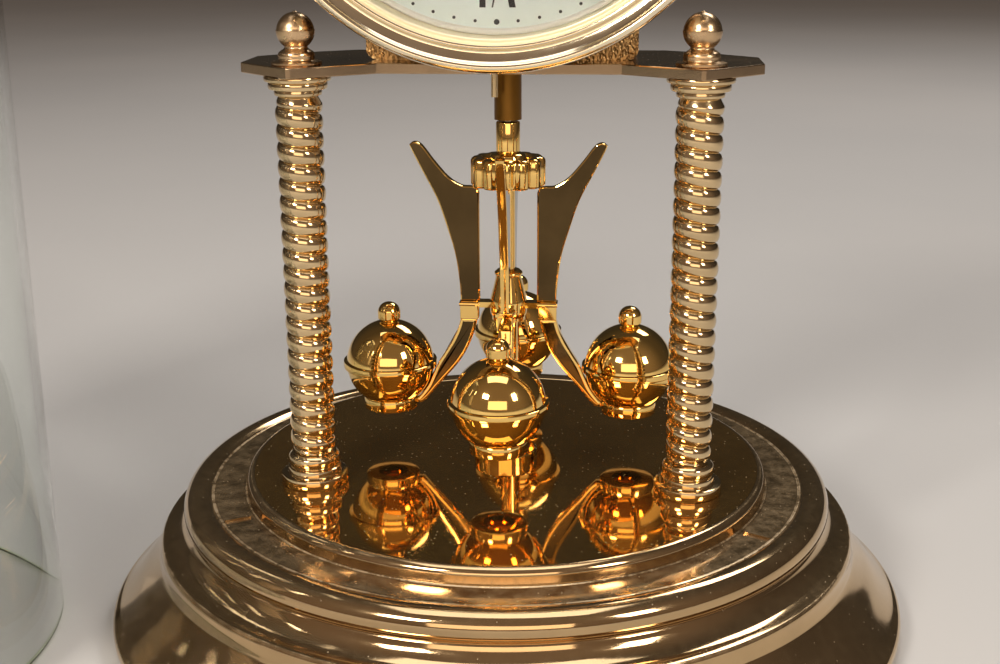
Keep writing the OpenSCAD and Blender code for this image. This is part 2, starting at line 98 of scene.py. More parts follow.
class Shade:
    """A Principled material with a few short-hands for its noise, masks and bump."""

    def __init__(self, name):
        self.mat = bpy.data.materials.new(name)
        self.mat.use_nodes = True
        self.tree = self.mat.node_tree
        self.tree.nodes.clear()
        out = self.tree.nodes.new("ShaderNodeOutputMaterial")
        self.bsdf = self.tree.nodes.new("ShaderNodeBsdfPrincipled")
        self.tree.links.new(self.bsdf.outputs[0], out.inputs[0])
        self.coord = self.tree.nodes.new("ShaderNodeTexCoord")

    def link(self, a, b):
        self.tree.links.new(a, b)

    def place(self, scale):
        m = self.tree.nodes.new("ShaderNodeMapping")
        m.inputs["Scale"].default_value = scale
        self.link(self.coord.outputs["Object"], m.inputs["Vector"])
        return m.outputs[0]

    def noise(self, scale, detail=4.0, rough=0.55, stretch=None):
        n = self.tree.nodes.new("ShaderNodeTexNoise")
        n.inputs["Scale"].default_value = scale
        n.inputs["Detail"].default_value = detail
        n.inputs["Roughness"].default_value = rough
        self.link(self.place(stretch) if stretch else self.coord.outputs["Object"],
                  n.inputs["Vector"])
        return n.outputs["Fac"]

    def ramp(self, value, a, b, lo=0.0, hi=1.0):
        r = self.tree.nodes.new("ShaderNodeMapRange")
        r.interpolation_type = "SMOOTHSTEP"
        for key, x in (("From Min", a), ("From Max", b), ("To Min", lo), ("To Max", hi)):
            r.inputs[key].default_value = x
        self.link(value, r.inputs["Value"])
        return r.outputs[0]

    def math(self, op, a, b=0.0, clamp=True):
        m = self.tree.nodes.new("ShaderNodeMath")
        m.operation = op
        m.use_clamp = clamp
        for slot, x in ((0, a), (1, b)):
            if isinstance(x, (int, float)):
                m.inputs[slot].default_value = x
            else:
                self.link(x, m.inputs[slot])
        return m.outputs[0]

    def vector(self, op, a, b=None):
        v = self.tree.nodes.new("ShaderNodeVectorMath")
        v.operation = op
        self.link(a, v.inputs[0])
        if b:
            v.inputs[1].default_value = b
        return v.outputs["Value" if op == "LENGTH" else "Vector"]

    def mix(self, fac, a, b):
        m = self.tree.nodes.new("ShaderNodeMix")
        m.data_type = "RGBA"
        self.link(fac, m.inputs[0])
        for slot, x in ((6, a), (7, b)):
            if isinstance(x, tuple):
                m.inputs[slot].default_value = (*x, 1.0)
            else:
                self.link(x, m.inputs[slot])
        return m.outputs[2]

    def specks(self, scale, size, share):
        """Round specks in a share of the cells of a Voronoi pattern."""
        v = self.tree.nodes.new("ShaderNodeTexVoronoi")
        v.inputs["Scale"].default_value = scale
        self.link(self.coord.outputs["Object"], v.inputs["Vector"])
        near = self.ramp(v.outputs["Distance"], size * 0.6, size, 1.0, 0.0)
        part = self.tree.nodes.new("ShaderNodeSeparateColor")
        self.link(v.outputs["Color"], part.inputs[0])
        kept = self.ramp(part.outputs[0], 1 - share, 1 - share + 0.01)
        return self.math("MULTIPLY", near, kept)

    def upward(self, a=0.15, b=0.9):
        """0 on walls and undersides, 1 on faces that look up."""
        g = self.tree.nodes.new("ShaderNodeNewGeometry")
        s = self.tree.nodes.new("ShaderNodeSeparateXYZ")
        self.link(g.outputs["Normal"], s.inputs[0])
        return self.ramp(s.outputs[2], a, b)

    def radius(self, across=(1, 1, 0), centre=None):
        """The distance from an axis; across is 0 along that axis."""
        at = self.coord.outputs["Object"]
        if centre:
            at = self.vector("SUBTRACT", at, centre)
        return self.vector("LENGTH", self.vector("MULTIPLY", at, across))

    def settled(self, band, lines):
        """Dust about Z in a band (from, to) and along lines (radius, half width, amount)."""
        edge, amount = 0.0008, 0.26
        r = self.radius()
        broken = self.ramp(self.noise(260, 10, 0.8), 0.34, 0.7, 0.1, 1.0)
        start, end = band
        total = self.math("MULTIPLY", self.ramp(r, start, start + edge),
                          self.ramp(r, end - edge, end, 1.0, 0.0))
        total = self.math("MULTIPLY", total, amount)
        for at, width, depth in lines:
            away = self.math("ABSOLUTE", self.math("SUBTRACT", r, at, clamp=False), clamp=False)
            line = self.math("MULTIPLY", self.ramp(away, width * 0.3, width, 1.0, 0.0), depth)
            total = self.math("MAXIMUM", total, line)
        return self.math("MULTIPLY", total, broken)

    def bump(self, height, strength, distance):
        b = self.tree.nodes.new("ShaderNodeBump")
        b.inputs["Strength"].default_value = strength
        b.inputs["Distance"].default_value = distance
        self.link(height, b.inputs["Height"])
        self.link(b.outputs[0], self.bsdf.inputs["Normal"])

    def put(self, key, value):
        if isinstance(value, tuple):
            self.bsdf.inputs[key].default_value = (*value, 1.0)
        elif isinstance(value, (int, float)):
            self.bsdf.inputs[key].default_value = value
        else:
            self.link(value, self.bsdf.inputs[key])


def metal(name, colour, rough, spread=0.08, dust=0.0, speck=0.0, grain=0.04, stretch=None,
          tone=0.14, grooves=None):
    """Polished metal with a soft change of tone, smudges, and dust and specks on what looks up."""
    s = Shade(name)
    dark = tuple(c * (1 - tone) for c in colour)
    light = tuple(min(1.0, c * (1 + tone * 0.6)) for c in colour)
    tint = s.mix(s.ramp(s.noise(38, 5, 0.6), 0.35, 0.65), dark, light)
    smudge = s.ramp(s.noise(95, 8, 0.65), 0.38, 0.72, rough, rough + spread)
    if dust or speck:
        haze = s.ramp(s.noise(420, 10, 0.75), 0.3, 0.8, dust * 0.35, dust)
        fine = s.math("MULTIPLY", s.specks(800, 0.15, 0.3), speck)
        big = s.math("MULTIPLY", s.specks(260, 0.055, 0.3), speck)
        mask = s.math("MAXIMUM", s.math("MAXIMUM", haze, fine), big)
        if grooves:
            mask = s.math("MAXIMUM", mask, s.settled(*grooves))
        mask = s.math("MULTIPLY", mask, s.upward())
        s.put("Base Color", s.mix(mask, tint, DUST))
        s.put("Metallic", s.math("SUBTRACT", 1.0, mask))
        s.put("Roughness", s.math("ADD", smudge, s.math("MULTIPLY", mask, 0.6)))
    else:
        s.put("Base Color", tint)
        s.put("Metallic", 1.0)
        s.put("Roughness", smudge)
    lines = s.noise(900, 3, 0.6, stretch)
    s.bump(lines, grain, 0.0002)
    return s.mat


def ring_metal(name, colour, rough, satin, centre, inner):
    """Polished outside the radius inner about centre, and satin with turned lines inside it."""
    s = Shade(name)
    r = s.radius((1, 0, 1), centre)
    inside = s.ramp(r, inner, inner + 0.0003, 1.0, 0.0)
    light = tuple(min(1.0, c * 1.12 + 0.06) for c in colour)
    s.put("Base Color", s.mix(inside, s.mix(s.noise(60, 5, 0.6), colour, light), light))
    s.put("Metallic", 1.0)
    s.put("Roughness", s.math("ADD", s.ramp(s.noise(110, 8, 0.6), 0.35, 0.7, rough, rough + 0.06),
                              s.math("MULTIPLY", inside, satin)))
    turned = s.tree.nodes.new("ShaderNodeTexNoise")
    turned.noise_dimensions = "1D"
    turned.inputs["Scale"].default_value = 5200
    s.link(r, turned.inputs["W"])
    s.bump(s.math("MULTIPLY", turned.outputs["Fac"], inside), 0.5, 0.0002)
    return s.mat


def hammered(name, colour):
    """Small dents side by side, a little taller than wide."""
    s = Shade(name)
    v = s.tree.nodes.new("ShaderNodeTexVoronoi")
    v.feature = "SMOOTH_F1"
    v.inputs["Scale"].default_value = 1900
    s.link(s.place((1.0, 1.0, 0.62)), v.inputs["Vector"])
    dent = s.ramp(v.outputs["Distance"], 0.12, 0.62)
    # The colour is darker in the bottom of each dent: painted shade.
    s.put("Base Color", s.mix(dent, tuple(c * 0.7 for c in colour), colour))
    s.put("Metallic", 1.0)
    s.put("Roughness", s.ramp(s.noise(300, 6, 0.6), 0.3, 0.7, 0.26, 0.4))
    s.bump(dent, 0.9, 0.00022)
    return s.mat


def plain(name, colour, rough, metallic=0.0, grain=0.1, scale=2200, tone=0.12, coat=0.0,
          size=0.0001):
    """Paint, plastic, felt or card, with an even grain."""
    s = Shade(name)
    dark = tuple(c * (1 - tone) for c in colour)
    s.put("Base Color", s.mix(s.ramp(s.noise(120, 6, 0.6), 0.3, 0.7), dark, colour))
    s.put("Metallic", metallic)
    s.put("Roughness", s.ramp(s.noise(420, 5, 0.6), 0.3, 0.7, rough, rough + 0.1))
    s.put("Coat Weight", coat)
    s.bump(s.noise(scale, 4, 0.6), grain, size)
    return s.mat


def glass(name, colour, ior=1.48, rough=0.0, dust=0.0):
    """Clear glass, with a thin film of dust and a few spots where dust is given."""
    s = Shade(name)
    s.put("Base Color", colour)
    s.put("IOR", ior)
    if dust:
        haze = s.ramp(s.noise(45, 9, 0.7), 0.5, 0.85, 0.0, dust)
        spots = s.math("MULTIPLY", s.specks(420, 0.09, 0.15), 0.5)
        s.put("Transmission Weight", s.math("SUBTRACT", 1.0, s.math("MAXIMUM", haze, spots)))
        s.put("Roughness", s.math("MULTIPLY", haze, 0.6))
    else:
        s.put("Transmission Weight", 1.0)
        s.put("Roughness", s.ramp(s.noise(60, 6, 0.6), 0.55, 0.9, rough, rough + 0.03))
    return s.mat


face_lo, face_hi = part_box("dial")
dial_centre = ((face_lo.x + face_hi.x) / 2, 0.0, (face_lo.z + face_hi.z) / 2)
mats = {
    "aged_brass": metal("aged_brass", (0.57, 0.40, 0.215), 0.06, 0.05, dust=0.08, speck=0.5,
                        grain=0.02, tone=0.07, grooves=((RING_IN, RING_OUT), DUST_LINES)),
    "deck": metal("deck_brass", (0.76, 0.455, 0.145), 0.022, 0.02, dust=0.045, speck=0.6,
                  grain=0.008, tone=0.05),
    "gilt": metal("gilt", (0.98, 0.64, 0.21), 0.05, 0.06, grain=0.015, tone=0.08, speck=0.15),
    # A nearly black copy of the gilt for the fins' and arms' flat faces: painted shade standing in
    # for the dark room they reflect.
    "fin_gilt": metal("fin_gilt", (0.10, 0.064, 0.027), 0.09, 0.09, grain=0.03, tone=0.2,
                      speck=0.15),
    "column_brass": metal("column_brass", (0.70, 0.525, 0.30), 0.10, 0.08, grain=0.03, speck=0.12,
                          tone=0.08),
    "plate_brass": metal("plate_brass", (0.47, 0.33, 0.20), 0.10, 0.08, grain=0.02, speck=0.35,
                         dust=0.06),
    "finial_brass": metal("finial_brass", (0.63, 0.44, 0.255), 0.24, 0.08, grain=0.10,
                          stretch=(0.05, 0.05, 6.0)),
    "bezel_brass": ring_metal("bezel_brass", (0.88, 0.74, 0.53), 0.08, 0.36, dial_centre,
                              BEZEL_STEP),
    "tube_brass": metal("tube_brass", (0.24, 0.115, 0.022), 0.34, 0.12, grain=0.06),
    "steel": metal("steel", (0.55, 0.55, 0.56), 0.26, 0.12, grain=0.08, tone=0.08),
    "hammered_gold": hammered("hammered_gold", (0.50, 0.31, 0.13)),
    "dial_cream": plain("dial_cream", (0.82, 0.94, 0.93), 0.36, 0.15, grain=0.16, scale=3800,
                        tone=0.05),
    "dial_rim": plain("dial_rim", (0.88, 0.88, 0.82), 0.5, 0.0, grain=0.05, tone=0.05),
    "ink": plain("ink", (0.012, 0.013, 0.018), 0.32, 0.0, grain=0.03, tone=0.2),
    "hand_black": plain("hand_black", (0.014, 0.014, 0.018), 0.22, 0.0, grain=0.03, tone=0.2,
                        coat=0.3),
    "black_plastic": plain("black_plastic", (0.028, 0.028, 0.030), 0.42, 0.0, grain=0.35,
                           scale=1500, size=0.0002),
    "gear_plastic": plain("gear_plastic", (0.80, 0.77, 0.69), 0.32, 0.0, grain=0.05, tone=0.06),
    "board": plain("board", (0.03, 0.17, 0.08), 0.30, 0.0, grain=0.2, scale=900),
    "copper": plain("copper", (0.55, 0.22, 0.08), 0.28, 0.9, grain=0.3, scale=1600),
    "cell": plain("cell", (0.09, 0.09, 0.10), 0.28, 0.6, grain=0.04),
    "felt": plain("felt", (0.05, 0.13, 0.07), 0.92, 0.0, grain=0.9, scale=1300, tone=0.3,
                  size=0.0006),
    "clear_glass": glass("clear_glass", (0.995, 0.998, 0.995), 1.3),
    "dome_glass": glass("dome_glass", (0.96, 0.985, 0.97), 1.47, dust=0.03),
    "dome_rim": glass("dome_rim", (0.62, 0.80, 0.42), 1.5, 0.12),
}
SLOTS = {p["node"]: p["material_slot"] for p in frame["record"]["subparts"]}
for name, thing in nodes.items():
    thing.data.materials.clear()
    thing.data.materials.append(mats["deck" if name == "deck_plate" else SLOTS[name]])


# ----------------------------------------------------------------- shapes

def piece(name, verts, faces, material, body, smooth=True, replaced=(), slot=None, angle=35):
    """A mesh in metres that rides on a body; edges sharper than angle, in degrees, stay sharp."""
    mesh = bpy.data.meshes.new(name)
    mesh.from_pydata([tuple(v) for v in verts], [], faces)
    bm = bmesh.new()
    bm.from_mesh(mesh)
    bmesh.ops.remove_doubles(bm, verts=bm.verts, dist=MERGE)
    bmesh.ops.dissolve_degenerate(bm, dist=MERGE, edges=bm.edges)
    bmesh.ops.recalc_face_normals(bm, faces=bm.faces)
    for edge in bm.edges:
        if len(edge.link_faces) == 2 and edge.calc_face_angle(0) > math.radians(angle):
            edge.smooth = False
    for face in bm.faces:
        face.smooth = smooth and len(face.verts) < CAP_CORNERS
    bm.to_mesh(mesh)
    bm.free()
    obj = bpy.data.objects.new(name, mesh)
    bpy.context.scene.collection.objects.link(obj)
    mesh.materials.append(mats[material])
    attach(obj, body)
    if replaced:
        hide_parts(*replaced)
    return obj


def is_cap(poly):
    return len(poly.vertices) >= CAP_CORNERS


def paint(obj, material, chosen):
    """Give a second material to the faces for which chosen(face) is true."""
    obj.data.materials.append(mats[material])
    for poly in obj.data.polygons:
        poly.material_index = 1 if chosen(poly) else 0


def join(parts):
    """Several (verts, faces) shapes as one."""
    verts, faces = [], []
    for v, f in parts:
        base = len(verts)
        verts += v
        faces += [tuple(i + base for i in face) for face in f]
    return verts, faces


def moved(shape, matrix):
    return [matrix @ Vector(v) for v in shape[0]], shape[1]


def spline(points, steps=6):
    """A smooth closed outline through the points; a third value of 1 makes a point a corner."""
    n = len(points)
    out = []
    for i in range(n):
        p0, p1, p2, p3 = (points[(i + k) % n] for k in (-1, 0, 1, 2))
        a, b = Vector(p1[:2]), Vector(p2[:2])
        ta = (b - a) * 0.9 if len(p1) > 2 else (b - Vector(p0[:2])) / 2
        tb = (b - a) * 0.9 if len(p2) > 2 else (Vector(p3[:2]) - a) / 2
        for k in range(steps):
            t = k / steps
            h = (2 * t**3 - 3 * t**2 + 1, t**3 - 2 * t**2 + t, -2 * t**3 + 3 * t**2, t**3 - t**2)
            out.append(a * h[0] + ta * h[1] + b * h[2] + tb * h[3])
    return out


def inset(outline, d):
    """A closed outline moved inward by d at each point."""
    n = len(outline)
    area = sum(outline[i].x * outline[(i + 1) % n].y - outline[(i + 1) % n].x * outline[i].y
               for i in range(n))
    side = 1 if area > 0 else -1
    out = []
    for i in range(n):
        e = outline[(i + 1) % n] - outline[i - 1]
        if e.length < 1e-9:
            out.append(outline[i].copy())
            continue
        e.normalize()
        out.append(outline[i] + Vector((-e.y, e.x)) * d * side)
    return out


def slab(outline, y0, y1, bevel, channel=0.0, floor=0.5):
    """A closed outline in X and Z as a slab from y0 to y1 with rounded edges.

    A channel, that far in from the edge, sinks both faces by floor.
    """
    n = len(outline)
    slope = 0.12
    sy = 1 if y1 > y0 else -1
    rows = []
    for d, y in ((bevel, y0), (bevel * 0.3, y0 + sy * bevel * 0.3), (0, y0 + sy * bevel),
                 (0, y1 - sy * bevel), (bevel * 0.3, y1 - sy * bevel * 0.3), (bevel, y1)):
        rows.append([Vector((p.x, y, p.y)) for p in (inset(outline, d) if d else outline)])
    if channel:
        for wide, deep in ((channel, 0.0), (channel + slope, floor)):
            ring = inset(outline, wide)
            rows.insert(0, [Vector((p.x, y0 + sy * deep, p.y)) for p in ring])
            rows.append([Vector((p.x, y1 - sy * deep, p.y)) for p in ring])
    verts = [v for row in rows for v in row]
    faces = []
    for r in range(len(rows) - 1):
        for i in range(n):
            j = (i + 1) % n
            faces.append((r * n + i, r * n + j, (r + 1) * n + j, (r + 1) * n + i))
    faces.append(tuple(range(n)))
    faces.append(tuple((len(rows) - 1) * n + i for i in range(n)))
    return verts, faces


def lathe(profile, segments=96, swell=None):
    """A profile of radius and height turned about Z; swell(angle, radius, height) is the radius."""
    verts, faces = [], []
    for r, z in profile:
        for i in range(segments):
            a = TAU * i / segments
            q = swell(a, r, z) if swell else r
            verts.append(Vector((q * math.cos(a), q * math.sin(a), z)))
    for k in range(len(profile) - 1):
        for i in range(segments):
            j = (i + 1) % segments
            faces.append((k * segments + i, k * segments + j, (k + 1) * segments + j,
                          (k + 1) * segments + i))
    return verts, faces


def scaled(shape):
    """Millimetres to metres."""
    return [Vector(v) * MM for v in shape[0]], shape[1]


def arc(cx, cz, r, a0, a1, n):
    """Points on an arc from the angle a0 to a1, in degrees, in n steps."""
    return [(cx + r * math.cos(math.radians(a0 + (a1 - a0) * i / n)),
             cz + r * math.sin(math.radians(a0 + (a1 - a0) * i / n))) for i in range(n + 1)]


def flow(points, steps=6):
    """A smooth open line through the points."""
    out = []
    for i in range(len(points) - 1):
        p0, p1, p2, p3 = (Vector(points[min(max(i + k, 0), len(points) - 1)])
                          for k in (-1, 0, 1, 2))
        for k in range(steps):
            u = k / steps
            out.append(0.5 * ((2 * p1) + (p2 - p0) * u + (2 * p0 - 5 * p1 + 4 * p2 - p3) * u**2
                              + (3 * p1 - p0 - 3 * p2 + p3) * u**3))
    return [tuple(p) for p in out] + [tuple(points[-1])]


# --------------------------------------------------------------------- base

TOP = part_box("base_shell")[1].z / MM    # the base's highest line, the rim that holds the deck
base = [(62.0, TOP - 1.2), (63.05, TOP - 1.2), (63.05, TOP - 0.02)]
base += arc(63, TOP - 2, 2, 84, 0, 12)
base += [(65.0, TOP - 3.4), (65.15, TOP - 3.9), (65.4, TOP - 4.1), (66.5, TOP - 4.1),
         (72.4, TOP - 4.1), (73.2, TOP - 4.1), (73.4, TOP - 3.95)]
base += arc(76.5, TOP - 7, 4, 132, -42, 36)
base += arc(85.4, TOP - 8.1, 6, 197, 268, 16)
base += [(86.0, 23.7), (86.4, 23.1)]
base += flow(arc(96.5, 22.4, 10, 178, 202, 3) + [(89.2, 15.9), (92.2, 12.5), (95.2, 8.9),
                                                 (97.3, 6.6), (98.6, 5.7)], 6)
base += arc(96, 3.7, 3.4, 24, -70, 14)
base += [(96.4, 0.45), (95.6, 0.5), (95.6, 3.0)]
piece("base", *scaled(lathe(base, 320)), "aged_brass", "clock", replaced=("base_shell",),
      slot="aged_brass", angle=28)


# ------------------------------------------------------------------ columns

TURNS = 21                  # turns of the coil on each column
AROUND, ACROSS = 56, 14     # points round the column, and rows in one turn
TWIST_DEPTH = 0.95 * MM


def twisted_column(name, node):
    """A column as one coil that climbs left-handed and fades out at both ends."""
    lo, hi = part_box(node)
    cx, cy = (lo.x + hi.x) / 2, (lo.y + hi.y) / 2
    radius = (hi.x - lo.x) / 2
    z0, z1 = lo.z, hi.z
    pitch = (z1 - z0) / TURNS
    verts, faces = [], []
    rows = (TURNS + 1) * ACROSS + 1
    for s in range(rows):
        u = s / ACROSS
        f = u - math.floor(u)
        lobe = math.sqrt(max(0.0, 1 - (2 * f - 1) ** 2))
        for i in range(AROUND):
            a = TAU * i / AROUND
            z = z0 + (u - i / AROUND) * pitch
            fade = min(1.0, max(0.0, (z - z0) / (0.5 * pitch)), max(0.0, (z1 - z) / (0.5 * pitch)))
            r = radius - TWIST_DEPTH * (1 - lobe * fade)
            z = min(max(z, z0), z1)
            verts.append(Vector((cx + r * math.cos(a), cy + r * math.sin(a), z)))
    for s in range(rows - 1):
        for i in range(AROUND - 1):
            p = s * AROUND + i
            faces.append((p, p + 1, p + 1 + AROUND, p + AROUND))
    for s in range(rows - 1 - ACROSS):
        p = s * AROUND + AROUND - 1
        q = s * AROUND
        faces.append((p + ACROSS * AROUND, q, q + AROUND, p + (ACROSS + 1) * AROUND))
    return piece(name, verts, faces, "column_brass", "clock", replaced=(node,), slot="column_brass",
                 angle=80)


twisted_column("twist_left", "column_left")
twisted_column("twist_right", "column_right")

# ----------------------------------------------------------------- pendulum

band_lo, band_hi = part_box("ball_bands")
PX, PY = (band_lo.x + band_hi.x) / 2, (band_lo.y + band_hi.y) / 2
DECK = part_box("deck_plate")[1].z
HUB = Matrix.Translation((PX, PY, DECK))    # the pendulum's axis at the height of the deck

# Outlines of radius and height over the deck; a third value of 1 marks a corner.
FIN = [(7.25, 38.15, 1), (7.25, 66.0, 1), (7.9, 67.3), (9.4, 67.55, 1), (11.8, 67.8), (15.0, 69.9),
       (18.6, 74.1), (20.6, 76.8), (22.0, 78.2), (23.3, 78.5), (24.2, 78.0), (24.2, 77.0),
       (21.3, 71.1), (17.8, 64.2), (15.2, 56.4), (13.4, 50.0), (12.45, 43.2), (12.15, 38.15, 1)]
ARM = [(7.85, 33.5, 1), (12.15, 33.5, 1), (13.0, 30.6), (14.4, 27.6), (16.2, 24.6), (18.1, 21.5),
       (19.5, 18.4), (20.9, 15.4), (22.7, 12.9), (23.85, 11.7, 1), (23.85, 10.55, 1), (22.4, 10.75),
       (20.5, 12.6), (18.4, 15.2), (15.6, 18.4), (12.8, 21.8), (10.6, 25.4), (9.0, 29.2)]


def four(shape):
    """The shape at the four sides of the pendulum."""
    return join([moved(shape, HUB @ Matrix.Rotation(a * math.pi / 2, 4, "Z")) for a in range(4)])


fin = scaled(slab(spline(FIN, 5), -1.1, 1.1, 0.38))
# The fins' flat faces keep the near-black gilt, which is painted shade, and their edges take the
# plain gilt.
fins = piece("fins", *four(fin), "fin_gilt", "pendulum", replaced=("pendulum_fins",), slot="gilt",
             angle=30)
paint(fins, "gilt", lambda poly: not is_cap(poly))


def bar(x0, x1, z0, z1, half, bevel):
    """A rectangular block, half on either side of Y = 0."""
    return slab([Vector(p) for p in ((x0, z0), (x1, z0), (x1, z1), (x0, z1))], -half, half, bevel)


arm = slab(spline(ARM, 5), -1.5, 1.5, 0.3, 0.75, 0.6)
block = bar(7.65, 12.25, 33.45, 38.05, 2.0, 0.3)
lip = bar(7.45, 12.45, 37.0, 37.8, 2.3, 0.2)
arms = piece("arms", *four(scaled(join([arm, block, lip]))), "gilt", "pendulum",
             replaced=("pendulum_arms",), slot="gilt", angle=30)
# The arms' flat faces take the near-black gilt: painted shade.
paint(arms, "fin_gilt", is_cap)

SCALLOPS, SCALLOP_DEPTH, HUB_CROWN = 12, 1.1, 7.5


def scallop(a, r, z):
    """Notches round the hub's wall; its crown, inside HUB_CROWN, stays round."""
    if r < HUB_CROWN:
        return r
    return r - SCALLOP_DEPTH * abs(math.sin(SCALLOPS / 2 * a)) ** 4


hub = lathe([(0, 67.65), (8.3, 67.65), (9.0, 67.9), (9.3, 68.3), (9.3, 74.0), (9.0, 74.6),
             (8.4, 74.95), (7.4, 75.0), (6.6, 74.9), (6.3, 74.4), (6.2, 73.7), (4.5, 73.7),
             (4.4, 75.3), (4.0, 75.75), (0, 75.75)], 192, scallop)
piece("hub", *moved(scaled(hub), HUB), "gilt", "pendulum", replaced=("pendulum_hub",), slot="gilt",
      angle=50)

BELL = [(0, 34.2)]
BELL += flow([(4.2, 34.2), (4.6, 35.0), (4.7, 36.2), (4.7, 38.2), (4.3, 40.0), (3.7, 42.4),
              (3.3, 44.2)], 5)
BELL += arc(3.0, 45.4, 0.6, -70, 70, 6) + [(2.9, 46.25), (0, 46.3)]
NECK = [(0, 75.8), (2.9, 75.8), (2.95, 76.1), (2.95, 83.2), (2.85, 83.45), (2.6, 83.58), (0, 83.6)]
piece("bell", *moved(scaled(lathe(BELL)), HUB), "gilt", "pendulum", replaced=("pendulum_bell",),
      slot="gilt")
piece("neck", *moved(scaled(lathe(NECK)), HUB), "gilt", "pendulum", replaced=("pendulum_neck",),
      slot="gilt", angle=28)

BALL_R, BALL_Z = 11.3, 21.1     # a ball's radius, and its centre's height over the deck
BAND_R = 12.1                   # the band's radius


def around_balls(profile):
    """The turned profile at each of the four balls."""
    ring = (band_hi.x - band_lo.x) / 2 - BAND_R * MM
    shape = scaled(lathe(profile, 72))
    return four(moved(shape, Matrix.Translation((ring, 0, 0))))


FOOT = [(3.8, 9.2), (6.65, 9.2), (6.9, 9.32), (7.0, 9.6), (7.0, 11.85), (6.95, 12.05),
        (6.85, 12.18), (5.0, 11.05), (3.8, 10.6), (3.8, 9.2)]
BAND = [(0, 20.2), (11.85, 20.2), (12.02, 20.28), (12.09, 20.5), (12.09, 21.7), (12.02, 21.92),
        (11.85, 22), (0, 22)]
KNOB = [(0, 32.1), (2.0, 32.1), (2.1, 32.3), (2.15, 32.55), (2.6, 32.7), (2.87, 32.95), (2.9, 33.2),
        (2.9, 34.7)]
KNOB += flow([(2.88, 35.0), (2.65, 35.6), (2.2, 36.3), (1.5, 36.85), (0.75, 37.12), (0, 37.2)], 4)
LOWER = arc(0, BALL_Z, BALL_R, -64, -5, 30)
UPPER = arc(0, BALL_Z, BALL_R, 5, 76, 34)
piece("ball_rings_low", *around_balls(FOOT), "gilt", "pendulum", replaced=("ball_feet",),
      slot="gilt", angle=28)
piece("ball_flanges", *around_balls(BAND), "gilt", "pendulum", replaced=("ball_bands",),
      slot="gilt", angle=28)
piece("ball_tops", *around_balls(KNOB), "gilt", "pendulum", replaced=("ball_knobs",), slot="gilt",
      angle=28)
piece("ball_bottoms", *around_balls([(3.9, 11.3)] + LOWER + [(4.0, 20.2)]), "gilt", "pendulum",
      replaced=("ball_lower",), slot="gilt", angle=28)
piece("ball_crowns", *around_balls([(4.0, 22.0)] + UPPER + [(0.5, 32.09)]), "gilt", "pendulum",
      replaced=("ball_upper",), slot="gilt", angle=28)

# ----------------------------------------------------------- column fittings

foot_lo, foot_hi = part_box("column_feet")
cap_lo, cap_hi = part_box("column_capitals")
fin_lo, fin_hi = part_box("finials")


def pair(profile, lo, hi, segments=96):
    """The turned profile at both columns, standing on the box's lower face."""
    r = (hi.y - lo.y) / 2
    shape = scaled(lathe(profile, segments))
    y = (lo.y + hi.y) / 2
    return join([moved(shape, Matrix.Translation((x, y, lo.z))) for x in (lo.x + r, hi.x - r)])


FEET = [(2.2, 0.02), (7.75, 0.02), (7.93, 0.1), (8.0, 0.25), (8.0, 2.35), (7.93, 2.52), (7.75, 2.6),
        (6.5, 2.66), (6.4, 2.76), (6.4, 4.0), (6.32, 4.2), (6.1, 4.35), (5.75, 4.45), (5.6, 4.6),
        (5.75, 4.75), (6.0, 4.88), (6.1, 5.1), (6.1, 6.8), (6.02, 7.02), (5.8, 7.28), (5.4, 7.58),
        (2.2, 7.58)]
CAPS = [(2.2, 0.02), (5.1, 0.02), (5.33, 0.15), (5.4, 0.4), (5.4, 0.95), (5.3, 1.2), (5.3, 1.35),
        (6.3, 1.42), (6.6, 1.55), (6.7, 1.85), (6.7, 2.65), (6.6, 2.95), (6.45, 3.12), (7.2, 3.18),
        (7.5, 3.32), (7.6, 3.6), (7.6, 4.1), (7.52, 4.3), (7.35, 4.38), (2.2, 4.38)]
TOPS = [(0, 0.02), (5.55, 0.02), (5.7, 0.2), (5.7, 0.5), (5.55, 0.72)]
TOPS += flow([(4.7, 0.9), (4.2, 1.1), (4.08, 1.5), (4.12, 2.1), (3.9, 2.75), (3.2, 3.25),
              (2.7, 3.6), (2.6, 3.92)], 5)
TOPS += arc(0, 7.55, 4.35, -53, 0, 12) + arc(0, 7.35, 4.22, 6, 82, 16)
TOPS += [(0.5, 11.6), (0.34, 11.72), (0.17, 11.78), (0, 11.79)]
piece("feet", *pair(FEET, foot_lo, foot_hi), "column_brass", "clock", replaced=("column_feet",),
      slot="column_brass", angle=28)
piece("capitals", *pair(CAPS, cap_lo, cap_hi), "column_brass", "clock",
      replaced=("column_capitals",), slot="column_brass", angle=28)
piece("knops", *pair(TOPS, fin_lo, fin_hi), "finial_brass", "clock", replaced=("finials",),
      slot="finial_brass", angle=28)

# --------------------------------------------------------------------- dial

dial_lo, dial_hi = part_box("dial")
DIAL = Matrix.Translation(((dial_lo.x + dial_hi.x) / 2, dial_lo.y, (dial_lo.z + dial_hi.z) / 2))
INK = 0.03                  # how far the ink stands out
NUMERAL_H = 11
NUMERAL_FOOT = 31.3         # from the dial's middle to the foot of a numeral
NUMERAL_MAX = 11.5          # wider numerals are squeezed to this
THICK_I, THICK, THIN = 1.35, 1.4, 0.35
MINUTE_R, HOUR_DOT, MINUTE_DOT = 45.4, 0.62, 0.36
GLYPH_W = {"I": 2.6, "V": 6.2, "X": 6.2}


def prism(points):
    """Flat ink: points in the dial's X and Z, a hair proud of the face."""
    n = len(points)
    verts = [Vector((x, y, z)) for y in (0.0, -INK) for x, z in points]
    faces = [tuple(range(n)), tuple(range(n, 2 * n))]
    faces += [(i, (i + 1) % n, n + (i + 1) % n, n + i) for i in range(n)]
    return verts, faces


def disc(r, x, z, n=24):
    return prism([(x + r * math.cos(TAU * i / n), z + r * math.sin(TAU * i / n)) for i in range(n)])


